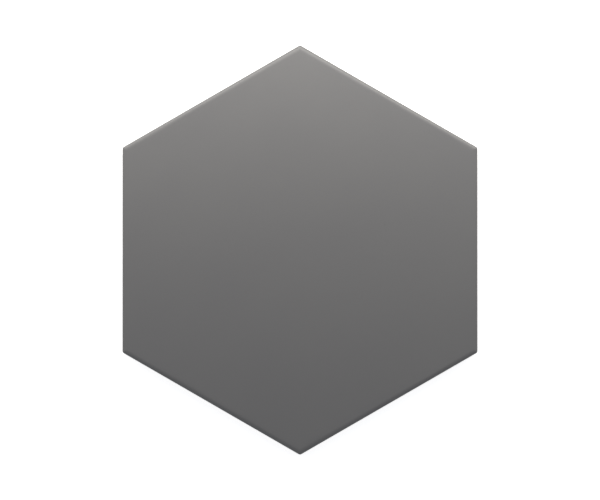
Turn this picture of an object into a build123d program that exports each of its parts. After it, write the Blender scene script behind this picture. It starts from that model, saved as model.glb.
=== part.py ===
from build123d import *
import math
import os

# A hexagonal pressed floor tile: one fired piece, lying on its back with the glazed face up.
# The origin is the centre of the bedding plane, +Z points out of the face, and two corners
# point along +Y and -Y, so that two of the flanks face +X and -X.

# Driving sizes, in millimetres and degrees
across_flats = 200.0  # from one flank to the opposite one, at the widest line of the rim
thickness = 9.0  # from the bedding plane to the face
corner_radius = 1.8  # plan radius of the corners, at the widest line of the rim
ease_run = 3.0  # how far the eased edge reaches in over the face
ease_drop = 1.6  # how far the eased edge falls below the face
flank_draft = 2.0  # angle that the flanks lean in towards the face, to leave the die
bevel_height = 1.0  # bevel round the back, up to the widest line
bevel_run = 0.6  # how far that bevel goes in under the tile
key_pitch = 16.0  # keying pockets in the back, from centre to centre
key_rib = 2.5  # width of the rib that is left between two pockets, at the bedding plane
key_depth = 0.8  # depth of the pockets
key_draft = 30.0  # angle that the pocket walls lean open, to leave the punch
key_border = 8.0  # least plain border between the pockets and the bevel

SIDES = 6
CORNER_UP = 90  # turns a hexagon so that a corner points along +Y
CORNER_ACROSS = 0  # turns a hexagon so that a corner points along +X
FLAT_SHARE = math.cos(math.radians(30))  # a hexagon's flats reach this share as far as its corners

# Sizes worked out from the driving ones
shoulder_height = thickness - ease_drop  # where the eased edge meets the flank
flank_run = (shoulder_height - bevel_height) * math.tan(math.radians(flank_draft))
shoulder_reach = across_flats / 2 - flank_run
face_reach = shoulder_reach - ease_run
bed_reach = across_flats / 2 - bevel_run
key_across_flats = key_pitch - key_rib
clear = thickness  # how far a cutting solid runs past the tile


def hexagon(flats, turn):
    """Regular hexagon of that width across its flats."""
    return RegularPolygon(flats / 2, SIDES, major_radius=False, rotation=turn)


def die_block():
    """What the die's walls shape: drafted flanks over a bevelled back, still without a face."""
    sharp = hexagon(across_flats, CORNER_UP)
    widest = Pos(0, 0, bevel_height) * fillet(sharp.vertices(), corner_radius)
    flanks = extrude(widest, thickness - bevel_height + clear, taper=flank_draft)
    bevel_angle = math.degrees(math.atan2(bevel_run, bevel_height))
    return flanks + extrude(widest, -bevel_height, taper=bevel_angle)


def face_bar(turn):
    """A bar across the tile whose top is the flat face between two opposite eased edges."""
    right_ease = EllipticalCenterArc((face_reach, shoulder_height), ease_run, ease_drop, arc_size=90)
    left_ease = mirror(right_ease, about=Plane.YZ)
    face = Line((-face_reach, thickness), (face_reach, thickness))
    side = across_flats / 2 + clear
    below = Polyline(
        (-shoulder_reach, shoulder_height),
        (-side, shoulder_height),
        (-side, -clear),
        (side, -clear),
        (side, shoulder_height),
        (shoulder_reach, shoulder_height),
    )
    section = make_face([right_ease, face, left_ease, below])
    return Rot(0, 0, turn) * extrude(Plane.XZ * section, across_flats, both=True)


def key_centres():
    """Centres of the pockets: a honeycomb in whole rings that keeps clear of the border."""
    column_step = key_pitch * FLAT_SHARE
    pocket_reach = key_across_flats / 2 / FLAT_SHARE
    rings = int((bed_reach - key_border - pocket_reach) // column_step)
    for column in range(-rings, rings + 1):
        in_column = 2 * rings + 1 - abs(column)
        for row in range(in_column):
            yield column * column_step, (row - (in_column - 1) / 2) * key_pitch


def key_pockets():
    """Shallow hexagonal pockets in the back, narrower at their floor than at their mouth."""
    pocket = extrude(hexagon(key_across_flats, CORNER_ACROSS), key_depth, taper=key_draft)
    return [Pos(x, y) * pocket for x, y in key_centres()]


tile = die_block()
for side_pair in range(SIDES // 2):
    tile = tile & face_bar(side_pair * 360 / SIDES)
tile = tile - key_pockets()
tile.label = "hex_tile"

os.makedirs("parts", exist_ok=True)
export_step(tile, "parts/hex_tile.step")
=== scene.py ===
import math

import bpy
import numpy as np
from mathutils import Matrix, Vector


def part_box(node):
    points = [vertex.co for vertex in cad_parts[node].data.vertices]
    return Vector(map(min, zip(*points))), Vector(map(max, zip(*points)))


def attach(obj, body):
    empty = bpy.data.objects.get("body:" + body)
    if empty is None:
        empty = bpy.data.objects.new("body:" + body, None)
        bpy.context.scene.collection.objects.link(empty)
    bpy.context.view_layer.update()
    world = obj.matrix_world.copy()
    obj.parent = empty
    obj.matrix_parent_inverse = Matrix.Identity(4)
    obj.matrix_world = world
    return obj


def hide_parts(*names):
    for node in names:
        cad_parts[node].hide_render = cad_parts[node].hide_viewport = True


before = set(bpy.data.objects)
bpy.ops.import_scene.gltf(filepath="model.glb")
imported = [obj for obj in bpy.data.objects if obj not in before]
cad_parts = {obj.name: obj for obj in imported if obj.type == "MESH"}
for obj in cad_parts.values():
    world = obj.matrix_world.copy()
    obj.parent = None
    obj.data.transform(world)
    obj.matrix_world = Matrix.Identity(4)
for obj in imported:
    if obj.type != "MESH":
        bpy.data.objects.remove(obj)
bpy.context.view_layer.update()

# A hexagonal glazed floor tile, one fired piece, lying on its back with its face up. Lengths are in
# metres, and the origin is in the middle of the bedding plane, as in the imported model.
MM = 0.001  # metres in a millimetre

# Sizes of the tile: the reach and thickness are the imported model's, and the rest is as its source has it
low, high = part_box("hex_tile")
REACH = (high.x - low.x) / 2  # from the middle to a flank, at the widest line of the rim
THICKNESS = high.z - low.z
CORNER_RADIUS = 1.8 * MM
EASE_RUN = 3.0 * MM  # how far the eased edge reaches in over the face
EASE_DROP = 1.6 * MM  # how far it falls below the face
FLANK_DRAFT = math.radians(2.0)
BEVEL_HEIGHT = 1.0 * MM
BEVEL_RUN = 0.6 * MM
KEY_PITCH = 16.0 * MM  # from the middle of one keying pocket to the next
KEY_RIB = 2.5 * MM
KEY_DEPTH = 0.8 * MM
KEY_DRAFT = math.radians(30.0)
KEY_BORDER = 8.0 * MM  # least plain border round the pockets

# What pressing, glazing and firing leave on the shape
GLAZE_PROUD = 0.10 * MM  # thickness of the glaze where it stands out from the flank
GLAZE_LINE = 6.3 * MM  # mean height of the glaze's lower edge on the flank
GLAZE_LIP = 0.25 * MM  # height of the rounded lip along that edge
GLAZE_RUNS = 0.28 * MM  # how far that edge wanders up and down
LONG_RUNS, SHORT_RUNS = 9.0 * MM, 4.0 * MM  # lengths of its long and short waves
SHORT_RUNS_SHARE = 0.3
FACE_SWELL = 0.020 * MM  # depth of the long unevenness of the fired face
FACE_SWELL_LENGTH = 45.0 * MM
FACE_RIPPLE = 0.004 * MM  # depth of the short one
FACE_RIPPLE_LENGTH = 10.0 * MM
EASE_UNEVEN = 0.04  # share by which the width of the eased edge varies
EASE_UNEVEN_LENGTH = 30.0 * MM
FLANK_UNEVEN = 0.012 * MM
FLANK_UNEVEN_LENGTH = 5.0 * MM
SHORTEST_WAVE, LONGEST_WAVE = 0.7, 1.5  # of the waves in an unevenness, as shares of its length
FACE_CORNER_RADIUS = 0.5 * MM  # the mitres of the eased edge are soft
POCKET_CORNER_RADIUS = 0.9 * MM

# Soft edges of the back, as shares of one size
ARRIS = 0.25 * MM
FLANK_CUT = 0.1 * ARRIS  # what is off the edge between flank and bevel
BED_CUT = 0.25 * ARRIS  # what is off the edge between bevel and bed
POCKET_CUT = 0.1 * ARRIS  # what is off the edges at the mouth and the floor of a pocket
POCKET_SOFT_RUN = 0.7 * ARRIS  # how far those soft edges reach over the rib or the floor
POCKET_SOFT_DROP = 0.6 * ARRIS  # how far they reach along the wall's height
POCKET_SOFT_LEAN = 0.6 * POCKET_SOFT_DROP  # how far the wall leans over that height
POCKET_SOFT_DIP = 0.2 * POCKET_SOFT_DROP  # height of their middle over the rib or under the floor
RIB_HOLD = 2.0 * ARRIS  # from a pocket's mouth to the ring of points that keeps the rib level
LEVEL_HOLD = 4.0 * ARRIS  # the same for the bed inside the bevel, and for the floor of a pocket

# How finely the surfaces are divided
FACE_STEPS = 48  # triangles along each side of the flat face
SIDE_STEPS = 144  # along each side of the rim
CORNER_STEPS = 8  # of those, from the middle of a corner's arc to its end
BAND_STEPS = 4
EASE_STEPS = 13
COAT_RINGS = (0.3, 0.65, 1.0)  # shares of the way down the glazed flank, to the lip
LIP_RINGS = (30, 60, 90)  # degrees round the lip
LIP_TUCK = 0.1 * GLAZE_LIP  # how far below the lip the bare flank starts
BARE_STEPS = 6
POCKET_STEPS = 6
POCKET_CORNER_STEPS = 2
FLAT_BAND = 8.0 * MM  # band of the flat face in which the points close up towards the corners
WAVES = 24  # plane waves in an unevenness
SAME_POINT = 0.01 * MM  # points of neighbouring pockets that are this close are one

# The map on which both finishes are laid flat
MAP_NAME = "OFBake"  # the name of that map
MAP_GAP = 2.0 * MM  # least empty border round each finish

# Colours, as linear red, green, blue and opacity
GLAZE_DEEP = (0.1367, 0.1365, 0.1389, 1)
GLAZE_LIGHT = (0.1427, 0.1425, 0.1433, 1)
GLAZE_THIN = (0.205, 0.200, 0.188, 1)
GLAZE_SPECK = (0.07, 0.07, 0.07, 1)
BISCUIT_DEEP = (0.27, 0.255, 0.23, 1)
BISCUIT_LIGHT = (0.36, 0.34, 0.305, 1)
BISCUIT_SAND = (0.46, 0.44, 0.40, 1)
BISCUIT_IRON = (0.09, 0.075, 0.06, 1)
KILN_WASH = (0.66, 0.65, 0.62, 1)
FLOOR_COLOUR = (0.8, 0.8, 0.8, 1)
SKY_COLOUR = (0.925, 0.945, 1.0, 1)
LAMP_COLOUR = (1.0, 0.965, 0.91)
WHITE = (1, 1, 1, 1)

# Finish of the glaze
GLAZE_MOTTLE = {"Broad": 60.0 * MM, "Fine": 0.9 * MM}
GLAZE_SPECKS = {"Spacing": 2.6 * MM, "Radius": 0.10, "Kept": 0.4}
GLAZE_SPECK_SHARE = 0.3  # how strongly the specks show
GLAZE_PEEL = {"Grain": 1.1 * MM, "Pits": 0.25}
GLAZE_PEEL_DEPTH = 0.011 * MM
GLAZE_ROUGHNESS = (0.41, 0.47)
GLAZE_SPECULAR = 0.35
THIN_PATCHES = 3.0 * MM  # size of the patches in which the thin glaze is more or less pale
THIN_PATCH_LEAST = 0.4
SHOULDER_THIN = 0.3  # how pale the glaze is where it is thin over the shoulder
SHOULDER_THIN_STARTS = (-0.4 * MM, 0.1 * MM)  # heights over the shoulder between which that sets in
SHOULDER_THIN_ENDS = (0.3 * MM, 0.9 * MM)  # and between which it fades out again
LINE_THIN = 0.7  # how pale the glaze is along its lower line
LINE_THIN_STARTS = (-0.45, -0.05)  # depths below that line between which that sets in, in millimetres

# Finish of the bare body
BISCUIT_MOTTLE = {"Broad": 22.0 * MM, "Fine": 0.6 * MM}
BISCUIT_SANDING = {"Spacing": 0.7 * MM, "Radius": 0.45, "Kept": 0.5}
BISCUIT_SAND_SHARE = 0.35
BISCUIT_SPECKS = {"Spacing": 2.8 * MM, "Radius": 0.11, "Kept": 0.6}
BISCUIT_SPECK_SHARE = 0.6
BISCUIT_GRIT = {"Grain": 0.6 * MM, "Pits": 0.6}
BISCUIT_RELIEF = 0.03 * MM
BISCUIT_ROUGHNESS = (0.78, 0.9)
WASH_PATCHES = 14.0 * MM
WASH_PATCH_EDGE = (0.40, 0.62)  # values of the noise between which a patch of kiln wash fills up
WASH_SHARE = 0.75
WASH_FADES = (0.05 * MM, 0.22 * MM)  # heights over the bed between which the wash ends
MIST_SPOTS = 0.7 * MM
MIST_SHARE = 0.8
MIST_REACH = 1.6  # how far below its line the glaze has misted the body, in millimetres
DRAG_WIDTH = 0.4 * MM
DRAG_SCALE = (1.0, 1.0, 0.05)  # what draws the drag lines out along the flank's height

# Most of a noise lies between these values
NOISE_LOW, NOISE_HIGH = 0.3, 0.7

# The stage: a white floor, a soft lamp beyond the upper corner, and even light from all round
FLOOR_DEPTH = 0.05 * MM  # how far the floor lies under the tile, so that the two never share a plane
FLOOR_HALF = 4.0
FLOOR_GLOW = 0.75  # what brings the lit floor up to white where it is seen
SKY_STRENGTH = 0.39
LAMP_PLACE = (0.0, 0.20, 0.12)
LAMP_AIM = (0.0, -0.10, THICKNESS)
LAMP_LONG, LAMP_SHORT = 1.0, 0.06
LAMP_POWER = 1.92

# The camera looks straight down, with a corner of the tile at the top of the frame
FRAME_PIXELS = (600, 500)
TILE_SHARE = 0.82  # of the frame's height
LENS, SENSOR = 135.0, 36.0

# Sizes and angles worked out from those above
SIDES = 6
TURN = math.tau / SIDES  # from one corner of a hexagon to the next
FLAT_SHARE = math.cos(TURN / 2)  # a hexagon's flats reach this share as far as its corners
CORNER_UP = math.radians(90)
CORNER_ACROSS = 0.0
SHOULDER = THICKNESS - EASE_DROP  # height at which the eased edge meets the flank
FLANK_SLOPE = math.tan(FLANK_DRAFT)
FLANK_RUN = (SHOULDER - BEVEL_HEIGHT) * FLANK_SLOPE
RIM_RUN = FLANK_RUN + EASE_RUN
POCKET_REACH = (KEY_PITCH - KEY_RIB) / 2  # from the middle of a pocket to its mouth's flats
POCKET_FLOOR_REACH = POCKET_REACH - KEY_DEPTH * math.tan(KEY_DRAFT)


def polar(reach, angle):
    """Points in the plane at that reach and angle from the middle."""
    return np.stack(np.broadcast_arrays(reach * np.cos(angle), reach * np.sin(angle)), axis=-1)


def swell(points, length, seed):
    """Smooth unevenness of about unit depth: the sum of plane waves through the points, with seeded
    directions and phases, whose lengths lie about the given length."""
    draw = np.random.default_rng(seed)
    heading = draw.normal(size=(3, WAVES))
    heading /= np.linalg.norm(heading, axis=0)
    wave_length = length * draw.uniform(SHORTEST_WAVE, LONGEST_WAVE, WAVES)
    phase = draw.uniform(0, 2 * np.pi, WAVES)
    waves = np.cos(points @ (2 * np.pi * heading / wave_length) + phase)
    return waves.sum(axis=-1) * math.sqrt(2 / WAVES)


def hexagon_loop(apothem, radius, rounded, steps, corner_steps, first_corner):
    """Points round a hexagon with rounded corners, as an array whose last two axes are point and x, y.
    Each side runs from the middle of one corner's arc to the middle of the next: corner_steps along the
    first arc, then straight on, then along the second arc. Where rounded is 0 the points lie evenly on
    the sharp hexagon instead, and between 0 and 1 each point is that share of the way from there."""
    index = np.arange(SIDES * steps)
    corner = first_corner + TURN * (index // steps)
    step = index % steps
    past_corner = TURN / 2 * np.minimum(step / corner_steps, 1)
    to_corner = TURN / 2 * np.minimum((steps - step) / corner_steps, 1)
    straight = np.clip((step - corner_steps) / (steps - 2 * corner_steps), 0, 1)[:, None]
    arc_middle = (apothem - radius) / FLAT_SHARE
    start = polar(arc_middle, corner) + polar(radius, corner + past_corner)
    end = polar(arc_middle, corner + TURN) + polar(radius, corner + TURN - to_corner)
    round_loop = start + (end - start) * straight
    tip = apothem / FLAT_SHARE
    share = (step / steps)[:, None]
    sharp_loop = polar(tip, corner) * (1 - share) + polar(tip, corner + TURN) * share
    return sharp_loop + (round_loop - sharp_loop) * np.asarray(rounded)[..., None]


def way_along(rows):
    """Length of the way from the first row of points to each row, over the rows between."""
    return np.linalg.norm(np.diff(rows, axis=0, prepend=rows[:1]), axis=-1).cumsum(axis=0)


def ring_lattice(rings, step):
    """Even points in whole rings round the middle: point (q, r) lies q steps along one corner direction
    and r steps along the next, and its ring is the largest of q, r and q + r, whatever their signs.
    Gives the points and, on the grid of q and r, their rings and their numbers. The numbers are -1 past
    the last ring."""
    span = np.arange(-rings, rings + 1)
    q, r = np.meshgrid(span, span, indexing="ij")
    ring = np.max(np.abs([q, r, q + r]), axis=0)
    inside = ring <= rings
    number = np.full(q.shape, -1)
    number[inside] = np.arange(inside.sum())
    points = q[inside, None] * polar(step, CORNER_UP) + r[inside, None] * polar(step, CORNER_UP + TURN)
    return points, ring, number


def strips(loops):
    """Four-sided faces between consecutive closed loops of point numbers, the rows of the last two axes."""
    after = np.roll(loops, -1, axis=-1)
    inner, outer = loops[..., :-1, :], loops[..., 1:, :]
    inner_after, outer_after = after[..., :-1, :], after[..., 1:, :]
    return np.stack([inner, outer, outer_after, inner_after], axis=-1).reshape(-1, 4)


def level_border(points, inner, outer):
    """Triangles, seen from below, of the level border between two loops that both run once round the
    middle. All points are taken by angle: each one makes a triangle with the point before it on its own
    loop and the latest point on the other loop."""
    inner_angle = np.arctan2(points[inner, 1], points[inner, 0])
    outer_angle = np.arctan2(points[outer, 1], points[outer, 0])
    inner = inner[np.argsort(inner_angle)]
    outer = outer[np.argsort(outer_angle)]
    order = np.argsort(np.concatenate([np.sort(inner_angle), np.sort(outer_angle)]), kind="stable")
    is_inner = order < len(inner)
    inner_now = np.cumsum(is_inner) - 1
    outer_now = np.cumsum(~is_inner) - 1
    at_inner = np.column_stack([inner[inner_now - 1], inner[inner_now], outer[outer_now]])
    at_outer = np.column_stack([inner[inner_now], outer[outer_now], outer[outer_now - 1]])
    return np.where(is_inner[:, None], at_inner, at_outer)


def face_lattice(apothem):
    """The flat face as even triangles on a lattice whose last ring is the face's edge.
    Gives the points, the triangles and the numbers of the points round the edge."""
    flat, ring, number = ring_lattice(FACE_STEPS, apothem / FLAT_SHARE / FACE_STEPS)
    first, along_q, along_r, across = number[:-1, :-1], number[1:, :-1], number[:-1, 1:], number[1:, 1:]
    pairs = [np.stack([first, along_q, along_r], axis=-1), np.stack([along_q, across, along_r], axis=-1)]
    triangles = np.concatenate(pairs).reshape(-1, 3)
    points = np.column_stack([flat, np.full(len(flat), THICKNESS)])
    return points, triangles[(triangles >= 0).all(axis=1)], number[ring == FACE_STEPS]


def rim_section(line, ease_share):
    """The rim's section at every point round the tile, from the flat face out and down, in parts: a level
    band, a quarter of an ellipse for the eased edge, the glazed flank down to the glaze's line, a
    quarter-round lip there, the bare flank, the bevel and the bedding plane, with soft edges between them.
    Each part is an array of insets from the widest line and one of heights, with a row for each ring."""

    def flank_inset(height):
        return (height - BEVEL_HEIGHT) * FLANK_SLOPE

    def column(*values):
        return np.array(values)[:, None]

    band = np.linspace(0, 1, BAND_STEPS + 1)[1:, None]
    band_inset = RIM_RUN + FLAT_BAND * (1 - band)
    ease = np.linspace(0, np.pi / 2, EASE_STEPS + 1)[1:, None]
    ease_inset = FLANK_RUN + EASE_RUN * ease_share * (1 - np.sin(ease)) - GLAZE_PROUD * np.sin(ease) ** 2
    ease_height = SHOULDER + EASE_DROP * np.cos(ease)
    coat_height = SHOULDER + (line + GLAZE_LIP - SHOULDER) * column(*COAT_RINGS)
    coat_inset = flank_inset(coat_height) - GLAZE_PROUD
    lip = np.radians(column(*LIP_RINGS))
    lip_height = line + GLAZE_LIP * (1 - np.sin(lip))
    lip_inset = flank_inset(lip_height) - GLAZE_PROUD * np.cos(lip)
    bare = np.linspace(0, 1, BARE_STEPS)[:, None]
    bare_top = line - LIP_TUCK
    bare_height = bare_top + (BEVEL_HEIGHT + ARRIS - bare_top) * bare
    bare_inset = flank_inset(bare_height)
    bevel_height = column(BEVEL_HEIGHT, BEVEL_HEIGHT - ARRIS, ARRIS, BED_CUT)
    bevel_inset = BEVEL_RUN * (1 - bevel_height / BEVEL_HEIGHT) + column(FLANK_CUT, 0.0, 0.0, BED_CUT)
    bed_inset = BEVEL_RUN + column(ARRIS, LEVEL_HOLD)
    return {
        "band": (band_inset, THICKNESS),
        "ease": (ease_inset, ease_height),
        "coat": (coat_inset, coat_height),
        "lip": (lip_inset, lip_height),
        "bare": (bare_inset, bare_height),
        "bevel": (bevel_inset, bevel_height),
        "bed": (bed_inset, 0.0),
    }


def rim_rings():
    """The rim's section carried round the tile: each ring is a rounded hexagon with its own inset from the
    widest line, height and corner radius. The glaze's line, the width of the eased edge and the bare flank
    are uneven. Gives the points by ring, the number of glazed rings, and how far each point lies below the
    glaze's line."""
    around = hexagon_loop(REACH, CORNER_RADIUS, 1, SIDE_STEPS, CORNER_STEPS, CORNER_UP)
    spots = np.column_stack([around, np.zeros(len(around))])
    runs = (1 - SHORT_RUNS_SHARE) * swell(spots, LONG_RUNS, seed=11)
    runs += SHORT_RUNS_SHARE * swell(spots, SHORT_RUNS, seed=12)
    line = GLAZE_LINE + GLAZE_RUNS * runs
    ease_share = 1 + EASE_UNEVEN * swell(spots, EASE_UNEVEN_LENGTH, seed=13)

    section = rim_section(line, ease_share)
    whole_rings = [np.broadcast_arrays(inset, height, line)[:2] for inset, height in section.values()]
    part = np.repeat(list(section), [len(inset) for inset, _ in whole_rings])[:, None]
    inset, height = (np.concatenate(arrays) for arrays in zip(*whole_rings))

    spots = np.concatenate([np.broadcast_to(around, (*height.shape, 2)), height[..., None]], axis=-1)
    inset = inset + (part == "bare") * FLANK_UNEVEN * swell(spots, FLANK_UNEVEN_LENGTH, seed=14)
    radius = np.clip(CORNER_RADIUS - inset, FACE_CORNER_RADIUS, None)
    rounded = np.where(part == "band", (np.arange(len(part)) + 1)[:, None] / BAND_STEPS, 1.0)
    loops = hexagon_loop(REACH - inset, radius * rounded, rounded, SIDE_STEPS, CORNER_STEPS, CORNER_UP)
    glazed = np.isin(part, ("band", "ease", "coat", "lip")).sum()
    return np.concatenate([loops, height[..., None]], axis=-1), glazed, line - height


def pocket_rings():
    """One pocket of the back about its own middle: a cell of the honeycomb at the bedding plane, then
    rounded hexagons over the rib's soft edge, down the leaning wall and round into the level floor.
    Each ring has its reach from the middle and its height over the bedding plane. Gives the rings, and the
    same rings laid flat, where each one's reach is less than the cell's by the way down to it."""
    section = np.array(
        [
            (KEY_PITCH / 2, 0.0),
            (POCKET_REACH + RIB_HOLD, 0.0),
            (POCKET_REACH + POCKET_SOFT_RUN, 0.0),
            (POCKET_REACH + POCKET_CUT, POCKET_SOFT_DIP),
            (POCKET_REACH - POCKET_SOFT_LEAN, POCKET_SOFT_DROP),
            (POCKET_FLOOR_REACH + POCKET_SOFT_LEAN, KEY_DEPTH - POCKET_SOFT_DROP),
            (POCKET_FLOOR_REACH - POCKET_CUT, KEY_DEPTH - POCKET_SOFT_DIP),
            (POCKET_FLOOR_REACH - POCKET_SOFT_RUN, KEY_DEPTH),
            (POCKET_FLOOR_REACH - LEVEL_HOLD, KEY_DEPTH),
        ]
    )
    reach, height = section[:, :1], section[:, 1:]
    rounded = (np.arange(len(section)) > 0).astype(float)[:, None]
    radius = np.full_like(reach, POCKET_CORNER_RADIUS)
    flat_reach = (KEY_PITCH / 2 - way_along(section))[:, None]
    loops, flat_loops = (
        hexagon_loop(size, radius, rounded, POCKET_STEPS, POCKET_CORNER_STEPS, CORNER_ACROSS)
        for size in (reach, flat_reach)
    )
    heights = np.broadcast_to(height, loops.shape[:2])
    return np.concatenate([loops, heights[..., None]], axis=-1), flat_loops


def pocket_middles():
    """Middles of the pockets: a lattice in as many whole rings as keep clear of the border."""
    room = REACH - BEVEL_RUN - KEY_BORDER - POCKET_REACH / FLAT_SHARE
    rings = int(room // (KEY_PITCH * FLAT_SHARE))
    middles, _, _ = ring_lattice(rings, KEY_PITCH)
    return middles


def keyed_back():
    """The honeycomb of pockets as one surface: the pocket is repeated at every middle, and the points that
    neighbouring cells share are made one. Gives the points, their places when the back is laid flat, the
    four-sided faces, the triangles that close the pockets' floors, and the numbers of the points round the
    outside."""
    rings, flat_rings = pocket_rings()
    middles = pocket_middles()
    cells = len(middles)
    places = rings + np.column_stack([middles, np.zeros(cells)])[:, None, None]
    floors = np.column_stack([middles, np.full(cells, KEY_DEPTH)])
    points = np.concatenate([places.reshape(-1, 3), floors])
    flat_points = np.concatenate([(flat_rings + middles[:, None, None]).reshape(-1, 2), middles])
    grid = np.round(points / SAME_POINT).astype(int)
    _, first, same = np.unique(grid, axis=0, return_index=True, return_inverse=True)
    same = same.reshape(-1)
    number = same[:-cells].reshape(places.shape[:3])
    floor = same[-cells:, None]
    innermost, outermost = number[:, -1], number[:, 0]
    after = np.roll(innermost, -1, axis=1)
    fans = np.stack(np.broadcast_arrays(innermost, floor, after), axis=-1).reshape(-1, 3)
    sides = np.stack([outermost, np.roll(outermost, -1, axis=1)], axis=-1).reshape(-1, 2)
    sides, times = np.unique(np.sort(sides, axis=1), axis=0, return_counts=True)
    return points[first], flat_points[first], strips(number), fans, np.unique(sides[times == 1])


def unrolled(rings):
    """Rim rings laid flat about the first of them: each point lies straight out from its place there, as
    far as the way to it over the rings between. The directions are those of a loop that is all corners."""
    outward = hexagon_loop(1, 1, 1, SIDE_STEPS, CORNER_STEPS, CORNER_UP)
    return rings[0, :, :2] + outward * way_along(rings)[..., None]


def finish_plans(flat_face, rim, flat_back):
    """Both finishes laid flat, each with a place for every point of the tile: the glaze seen from above,
    with the rim unrolled round the level band, and the body seen from below, with the rim unrolled round
    the bed."""
    level_rings = rim[: BAND_STEPS - 1, :, :2]
    glaze_rim = np.concatenate([level_rings, unrolled(rim[BAND_STEPS - 1 :])])
    body_rim = unrolled(rim[::-1])[::-1]
    glaze_plan = np.concatenate([flat_face, glaze_rim.reshape(-1, 2), flat_back])
    body_plan = np.concatenate([flat_face, body_rim.reshape(-1, 2), flat_back])
    return glaze_plan, body_plan * (-1, 1)


def lay_map(mesh, glazed, bare, glaze_plan, body_plan):
    """Give every corner of the faces its place on a square map, whose left half the glaze fills, and whose
    right half the body fills."""
    glaze = glaze_plan[np.concatenate([part.reshape(-1) for part in glazed])]
    body = body_plan[np.concatenate([part.reshape(-1) for part in bare])]
    plan = np.concatenate([glaze, body])
    half_size = np.abs(plan).max(axis=0) + MAP_GAP
    place = (1 + plan / half_size) / 2
    in_right_half = np.arange(len(plan)) >= len(glaze)
    place[:, 0] = (place[:, 0] + in_right_half) / 2
    layer = mesh.uv_layers.new(name=MAP_NAME)
    layer.uv.foreach_set("vector", place.astype(np.float32).reshape(-1))


def fired_tile(glaze, biscuit):
    """The whole tile as one closed mesh: the even face, the rim, the border of the back and its pockets.
    Each point knows how far it lies below the glaze's line, in millimetres, and each corner of a face knows
    its place on the map."""
    face, face_triangles, face_edge = face_lattice(REACH - RIM_RUN - FLAT_BAND)
    rim, glazed_rings, below_line = rim_rings()
    back, flat_back, back_quads, back_fans, back_outside = keyed_back()

    rim_start = len(face)
    back_start = rim_start + below_line.size
    rim_number = rim_start + np.arange(below_line.size).reshape(below_line.shape)
    points = np.concatenate([face, rim.reshape(-1, 3), back])
    glazed = [
        face_triangles,
        level_border(points, face_edge, rim_number[0])[:, ::-1],
        strips(rim_number[:glazed_rings]),
    ]
    bare = [
        strips(rim_number[glazed_rings - 1 :]),
        level_border(points, back_outside + back_start, rim_number[-1]),
        back_quads + back_start,
        back_fans + back_start,
    ]

    # The face's unevenness stays under the tile's thickness, and fades out down the eased edge
    uneven = FACE_SWELL * swell(points, FACE_SWELL_LENGTH, seed=21)
    uneven += FACE_RIPPLE * swell(points, FACE_RIPPLE_LENGTH, seed=22)
    above_shoulder = np.clip((points[:, 2] - SHOULDER) / EASE_DROP, 0, 1)
    points[:, 2] += above_shoulder * (uneven - uneven[above_shoulder > 0].max())

    faces = [corners for part in glazed + bare for corners in part.tolist()]
    finish = np.arange(len(faces)) >= sum(len(part) for part in glazed)
    face_depth, back_depth = np.full(len(face), -THICKNESS), np.full(len(back), THICKNESS)
    depth = np.concatenate([face_depth, below_line.reshape(-1), back_depth])
    mesh = bpy.data.meshes.new("fired_hex_tile")
    mesh.from_pydata(points.tolist(), [], faces)
    mesh.materials.append(glaze)
    mesh.materials.append(biscuit)
    mesh.polygons.foreach_set("material_index", finish.astype(np.int32))
    mesh.polygons.foreach_set("use_smooth", np.ones(len(faces), bool))
    attribute = mesh.attributes.new("below_line", "FLOAT", "POINT")
    attribute.data.foreach_set("value", (depth / MM).astype(np.float32))
    lay_map(mesh, glazed, bare, *finish_plans(face[:, :2], rim, flat_back))
    mesh.update()
    tile = bpy.data.objects.new("fired_hex_tile", mesh)
    bpy.context.collection.objects.link(tile)
    return tile


# Shader nodes


def put(tree, kind, inputs=None, **settings):
    """Add a node with those settings. Each named input takes a value, or a link if a socket is given."""
    made = tree.nodes.new(kind)
    for name, value in settings.items():
        setattr(made, name, value)
    for name, value in (inputs or {}).items():
        if isinstance(value, bpy.types.NodeSocket):
            tree.links.new(value, made.inputs[name])
        else:
            made.inputs[name].default_value = value
    return made


def reckon(tree, operation, first, second=0.0):
    """A sum, product or other reckoning of two values."""
    return put(tree, "ShaderNodeMath", {0: first, 1: second}, operation=operation).outputs[0]


def remap(tree, value, start, end, new_start=0.0, new_end=1.0):
    """A value carried smoothly from one range to another, and held at its ends."""
    inputs = {
        "Value": value,
        "From Min": start,
        "From Max": end,
        "To Min": new_start,
        "To Max": new_end,
    }
    return put(tree, "ShaderNodeMapRange", inputs, interpolation_type="SMOOTHSTEP").outputs[0]


def tint(tree, share, under, over):
    """The colour over, laid on the colour under by that share."""
    share_input, under_input, over_input, colour_output = 0, 6, 7, 2  # the Mix node's sockets for colours
    inputs = {share_input: share, under_input: under, over_input: over}
    return put(tree, "ShaderNodeMix", inputs, data_type="RGBA").outputs[colour_output]


def noise(tree, vector, size, detail=2.0, roughness=0.5):
    """Noise between 0 and 1 whose features are about that size, in metres."""
    inputs = {
        "Vector": vector,
        "Scale": reckon(tree, "DIVIDE", 1.0, size),
        "Detail": detail,
        "Roughness": roughness,
    }
    return put(tree, "ShaderNodeTexNoise", inputs).outputs["Fac"]


def value_group(name, inputs, output):
    """An empty shader group with a Vector, the named sizes or shares, and one value as its output.
    Gives the group, its inputs and the socket for its output."""
    tree = bpy.data.node_groups.new(name, "ShaderNodeTree")
    tree.interface.new_socket("Vector", in_out="INPUT", socket_type="NodeSocketVector")
    for label, value in inputs.items():
        socket = tree.interface.new_socket(label, in_out="INPUT", socket_type="NodeSocketFloat")
        socket.default_value = value
    tree.interface.new_socket(output, in_out="OUTPUT", socket_type="NodeSocketFloat")
    return tree, tree.nodes.new("NodeGroupInput").outputs, tree.nodes.new("NodeGroupOutput").inputs[0]


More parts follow.
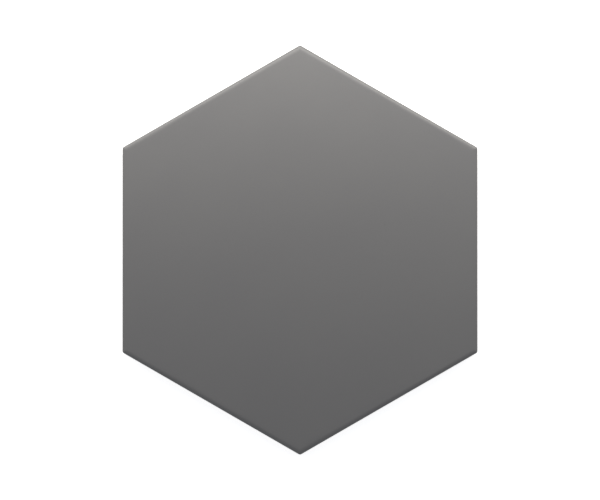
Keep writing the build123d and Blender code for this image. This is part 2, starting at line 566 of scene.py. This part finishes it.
def mottle_group():
    """Uneven tone of a fired surface, about 0.5: the mean of broad clouds and fine mottling."""
    tree, given, result = value_group("fired_mottle", GLAZE_MOTTLE, "Tone")
    broad = noise(tree, given["Vector"], given["Broad"], detail=3.0)
    fine = noise(tree, given["Vector"], given["Fine"], detail=4.0, roughness=0.6)
    tone = reckon(tree, "MULTIPLY", reckon(tree, "ADD", broad, fine), 0.5)
    tree.links.new(tone, result)
    return tree


def specks_group():
    """Mineral specks: ragged spots of uneven size about scattered points, of which only a share is kept.
    The radius of the largest is a share of the spacing."""
    smallest = 0.4  # radius of the smallest, as a share of the largest
    solid = 0.5  # share of a speck's radius in which it is full
    raggedness = 0.12  # size of the ragged bits, as a share of the spacing
    least_stretch, most_stretch = 0.7, 1.4  # how much nearer or farther a ragged bit counts
    tree, given, result = value_group("mineral_specks", GLAZE_SPECKS, "Mask")
    scale = reckon(tree, "DIVIDE", 1.0, given["Spacing"])
    cells = put(tree, "ShaderNodeTexVoronoi", {"Vector": given["Vector"], "Scale": scale})
    chance = put(tree, "ShaderNodeSeparateColor", {"Color": cells.outputs["Color"]}).outputs[0]
    kept = reckon(tree, "LESS_THAN", chance, given["Kept"])
    size = reckon(tree, "MULTIPLY", given["Radius"], remap(tree, chance, 0.0, given["Kept"], smallest, 1.0))
    ragged = noise(tree, given["Vector"], reckon(tree, "MULTIPLY", given["Spacing"], raggedness))
    stretch = remap(tree, ragged, NOISE_LOW, NOISE_HIGH, least_stretch, most_stretch)
    away = reckon(tree, "MULTIPLY", cells.outputs["Distance"], stretch)
    spot = remap(tree, away, reckon(tree, "MULTIPLY", size, solid), size, 1.0, 0.0)
    tree.links.new(reckon(tree, "MULTIPLY", spot, kept), result)
    return tree


def grain_group():
    """Relief of a fired surface, about 0.5: a soft grain, less small round pits."""
    grains_to_a_pit = 2.0  # spacing of the pits, as a multiple of the grain's size
    pit_floor, pit_rim = 0.05, 0.3  # where a pit is deepest and where it ends, as shares of that spacing
    tree, given, result = value_group("fired_grain", GLAZE_PEEL, "Height")
    grain = noise(tree, given["Vector"], given["Grain"], detail=3.0, roughness=0.55)
    scale = reckon(tree, "DIVIDE", 1.0 / grains_to_a_pit, given["Grain"])
    cells = put(tree, "ShaderNodeTexVoronoi", {"Vector": given["Vector"], "Scale": scale})
    pit = remap(tree, cells.outputs["Distance"], pit_floor, pit_rim, 1.0, 0.0)
    tree.links.new(reckon(tree, "SUBTRACT", grain, reckon(tree, "MULTIPLY", pit, given["Pits"])), result)
    return tree


def use(tree, group, place, values):
    """Place a group in a material with its own values, and give its output."""
    return put(tree, "ShaderNodeGroup", {"Vector": place, **values}, node_tree=group).outputs[0]


def new_material(name):
    """A material with its tree and its Principled shader."""
    material = bpy.data.materials.new(name)
    material.use_nodes = True
    return material, material.node_tree, material.node_tree.nodes["Principled BSDF"]


def place_on_tile(tree):
    """The tile's own coordinates, the height over the bedding plane, in metres, and the depth below the
    glaze's line, in millimetres."""
    place = put(tree, "ShaderNodeTexCoord").outputs["Object"]
    height = put(tree, "ShaderNodeSeparateXYZ", {"Vector": place}).outputs["Z"]
    return place, height, put(tree, "ShaderNodeAttribute", attribute_name="below_line").outputs["Fac"]


def raise_relief(tree, shader, relief, depth):
    """Give the shader the bumps of that relief, at that depth."""
    bump = put(tree, "ShaderNodeBump", {"Height": relief, "Distance": depth, "Strength": 1.0})
    tree.links.new(bump.outputs[0], shader.inputs["Normal"])


def satin_glaze(mottle, specks, grain):
    """Satin dark grey glaze: a nearly even grey with a faint mottle, sparse fine specks and a soft peel.
    Where it runs thin, over the shoulder of the eased edge and along its lower line, it is paler."""
    material, tree, shader = new_material("satin_grey_glaze")
    place, height, depth = place_on_tile(tree)
    tone = use(tree, mottle, place, GLAZE_MOTTLE)
    grey = tint(tree, remap(tree, tone, NOISE_LOW, NOISE_HIGH), GLAZE_DEEP, GLAZE_LIGHT)
    specked = use(tree, specks, place, GLAZE_SPECKS)
    grey = tint(tree, reckon(tree, "MULTIPLY", specked, GLAZE_SPECK_SHARE), grey, GLAZE_SPECK)

    over_shoulder = reckon(tree, "SUBTRACT", height, SHOULDER)
    thin_from = remap(tree, over_shoulder, *SHOULDER_THIN_STARTS)
    thin_to = remap(tree, over_shoulder, *SHOULDER_THIN_ENDS, SHOULDER_THIN, 0.0)
    thin = reckon(tree, "MULTIPLY", thin_from, thin_to)
    thin = reckon(tree, "ADD", thin, remap(tree, depth, *LINE_THIN_STARTS, 0.0, LINE_THIN))
    patches = remap(tree, noise(tree, place, THIN_PATCHES), NOISE_LOW, NOISE_HIGH, THIN_PATCH_LEAST, 1.0)
    grey = tint(tree, reckon(tree, "MULTIPLY", thin, patches), grey, GLAZE_THIN)
    tree.links.new(grey, shader.inputs["Base Color"])
    tree.links.new(remap(tree, tone, NOISE_LOW, NOISE_HIGH, *GLAZE_ROUGHNESS), shader.inputs["Roughness"])
    shader.inputs["Specular IOR Level"].default_value = GLAZE_SPECULAR
    raise_relief(tree, shader, use(tree, grain, place, GLAZE_PEEL), GLAZE_PEEL_DEPTH)
    return material


def bare_biscuit(mottle, specks, grain):
    """Unglazed fired body: warm grey with pale sand, iron specks and grit, drag lines down the flanks, thin
    glaze mist under the glaze's edge, and patchy white kiln wash on the ribs of the back."""
    material, tree, shader = new_material("bare_biscuit")
    place, height, depth = place_on_tile(tree)
    tone = use(tree, mottle, place, BISCUIT_MOTTLE)
    body = tint(tree, remap(tree, tone, NOISE_LOW, NOISE_HIGH), BISCUIT_DEEP, BISCUIT_LIGHT)
    sand = use(tree, specks, place, BISCUIT_SANDING)
    body = tint(tree, reckon(tree, "MULTIPLY", sand, BISCUIT_SAND_SHARE), body, BISCUIT_SAND)
    iron = use(tree, specks, place, BISCUIT_SPECKS)
    body = tint(tree, reckon(tree, "MULTIPLY", iron, BISCUIT_SPECK_SHARE), body, BISCUIT_IRON)

    patches = noise(tree, place, WASH_PATCHES, detail=5.0, roughness=0.65)
    ribs = remap(tree, height, *WASH_FADES, WASH_SHARE, 0.0)
    wash = reckon(tree, "MULTIPLY", remap(tree, patches, *WASH_PATCH_EDGE), ribs)
    body = tint(tree, wash, body, KILN_WASH)

    spatter = noise(tree, place, MIST_SPOTS, detail=3.0)
    mist = reckon(tree, "MULTIPLY", remap(tree, depth, 0.0, MIST_REACH, MIST_SHARE, 0.0), spatter)
    body = tint(tree, mist, body, GLAZE_DEEP)
    tree.links.new(body, shader.inputs["Base Color"])
    tree.links.new(remap(tree, tone, NOISE_LOW, NOISE_HIGH, *BISCUIT_ROUGHNESS), shader.inputs["Roughness"])

    grit = use(tree, grain, place, BISCUIT_GRIT)
    drawn_out = put(tree, "ShaderNodeMapping", {"Vector": place, "Scale": DRAG_SCALE}).outputs[0]
    on_flank = remap(tree, height, BEVEL_HEIGHT, 2 * BEVEL_HEIGHT)
    drag = reckon(tree, "MULTIPLY", noise(tree, drawn_out, DRAG_WIDTH), on_flank)
    raise_relief(tree, shader, reckon(tree, "ADD", grit, drag), BISCUIT_RELIEF)
    return material


# The stage and the camera


def seen_directly(tree):
    """1 for what the camera sees itself, in a mirror or through glass, and 0 for light on its way."""
    path = put(tree, "ShaderNodeLightPath").outputs
    glossy = reckon(tree, "MAXIMUM", path["Is Camera Ray"], path["Is Glossy Ray"])
    return reckon(tree, "MAXIMUM", glossy, path["Is Transmission Ray"])


def floor_white():
    """A plain pale surface that takes a shadow, with a glow that makes it white where it is seen."""
    material, tree, shader = new_material("floor_white")
    shader.inputs["Base Color"].default_value = FLOOR_COLOUR
    shader.inputs["Roughness"].default_value = 1.0
    shader.inputs["Specular IOR Level"].default_value = 0.0
    shader.inputs["Emission Color"].default_value = WHITE
    glow = reckon(tree, "MULTIPLY", seen_directly(tree), FLOOR_GLOW)
    tree.links.new(glow, shader.inputs["Emission Strength"])
    return material


def white_floor():
    """A level floor just under the tile: one large square."""
    corners = FLOOR_HALF * np.array([(-1, -1), (1, -1), (1, 1), (-1, 1)])
    points = np.column_stack([corners, np.full(len(corners), -FLOOR_DEPTH)])
    mesh = bpy.data.meshes.new("floor")
    mesh.from_pydata(points.tolist(), [], [(0, 1, 2, 3)])
    mesh.materials.append(floor_white())
    floor = bpy.data.objects.new("floor", mesh)
    bpy.context.collection.objects.link(floor)


def even_sky():
    """A white background where it is seen, and even soft light elsewhere."""
    world = bpy.data.worlds.new("studio")
    world.use_nodes = True
    tree = world.node_tree
    background = tree.nodes["Background"]
    seen = seen_directly(tree)
    tree.links.new(tint(tree, seen, SKY_COLOUR, WHITE), background.inputs["Color"])
    tree.links.new(remap(tree, seen, 0.0, 1.0, SKY_STRENGTH, 1.0), background.inputs["Strength"])
    bpy.context.scene.world = world


def soft_lamp():
    """A long soft lamp beyond the tile's upper corner, turned to face the tile's lower corner."""
    data = bpy.data.lights.new("upper_lamp", "AREA")
    data.shape = "RECTANGLE"
    data.size = LAMP_LONG
    data.size_y = LAMP_SHORT
    data.energy = LAMP_POWER
    data.color = LAMP_COLOUR
    lamp = bpy.data.objects.new("upper_lamp", data)
    lamp.location = LAMP_PLACE
    lamp.rotation_euler = (Vector(LAMP_AIM) - lamp.location).to_track_quat("-Z", "Y").to_euler()
    lamp.visible_camera = False
    bpy.context.collection.objects.link(lamp)


def camera_above():
    """A camera over the middle of the tile, as far up as the tile's share of the frame asks."""
    data = bpy.data.cameras.new("camera")
    data.lens = LENS
    data.sensor_width = SENSOR
    camera = bpy.data.objects.new("camera", data)
    bpy.context.collection.objects.link(camera)
    frame_width = (high.y - low.y) / TILE_SHARE * FRAME_PIXELS[0] / FRAME_PIXELS[1]
    camera.location = (0, 0, THICKNESS + frame_width * LENS / SENSOR)
    bpy.context.scene.camera = camera


groups = mottle_group(), specks_group(), grain_group()
tile = fired_tile(satin_glaze(*groups), bare_biscuit(*groups))
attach(tile, "root")
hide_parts("hex_tile")

white_floor()
even_sky()
soft_lamp()
camera_above()
bpy.context.scene.view_settings.view_transform = "Standard"
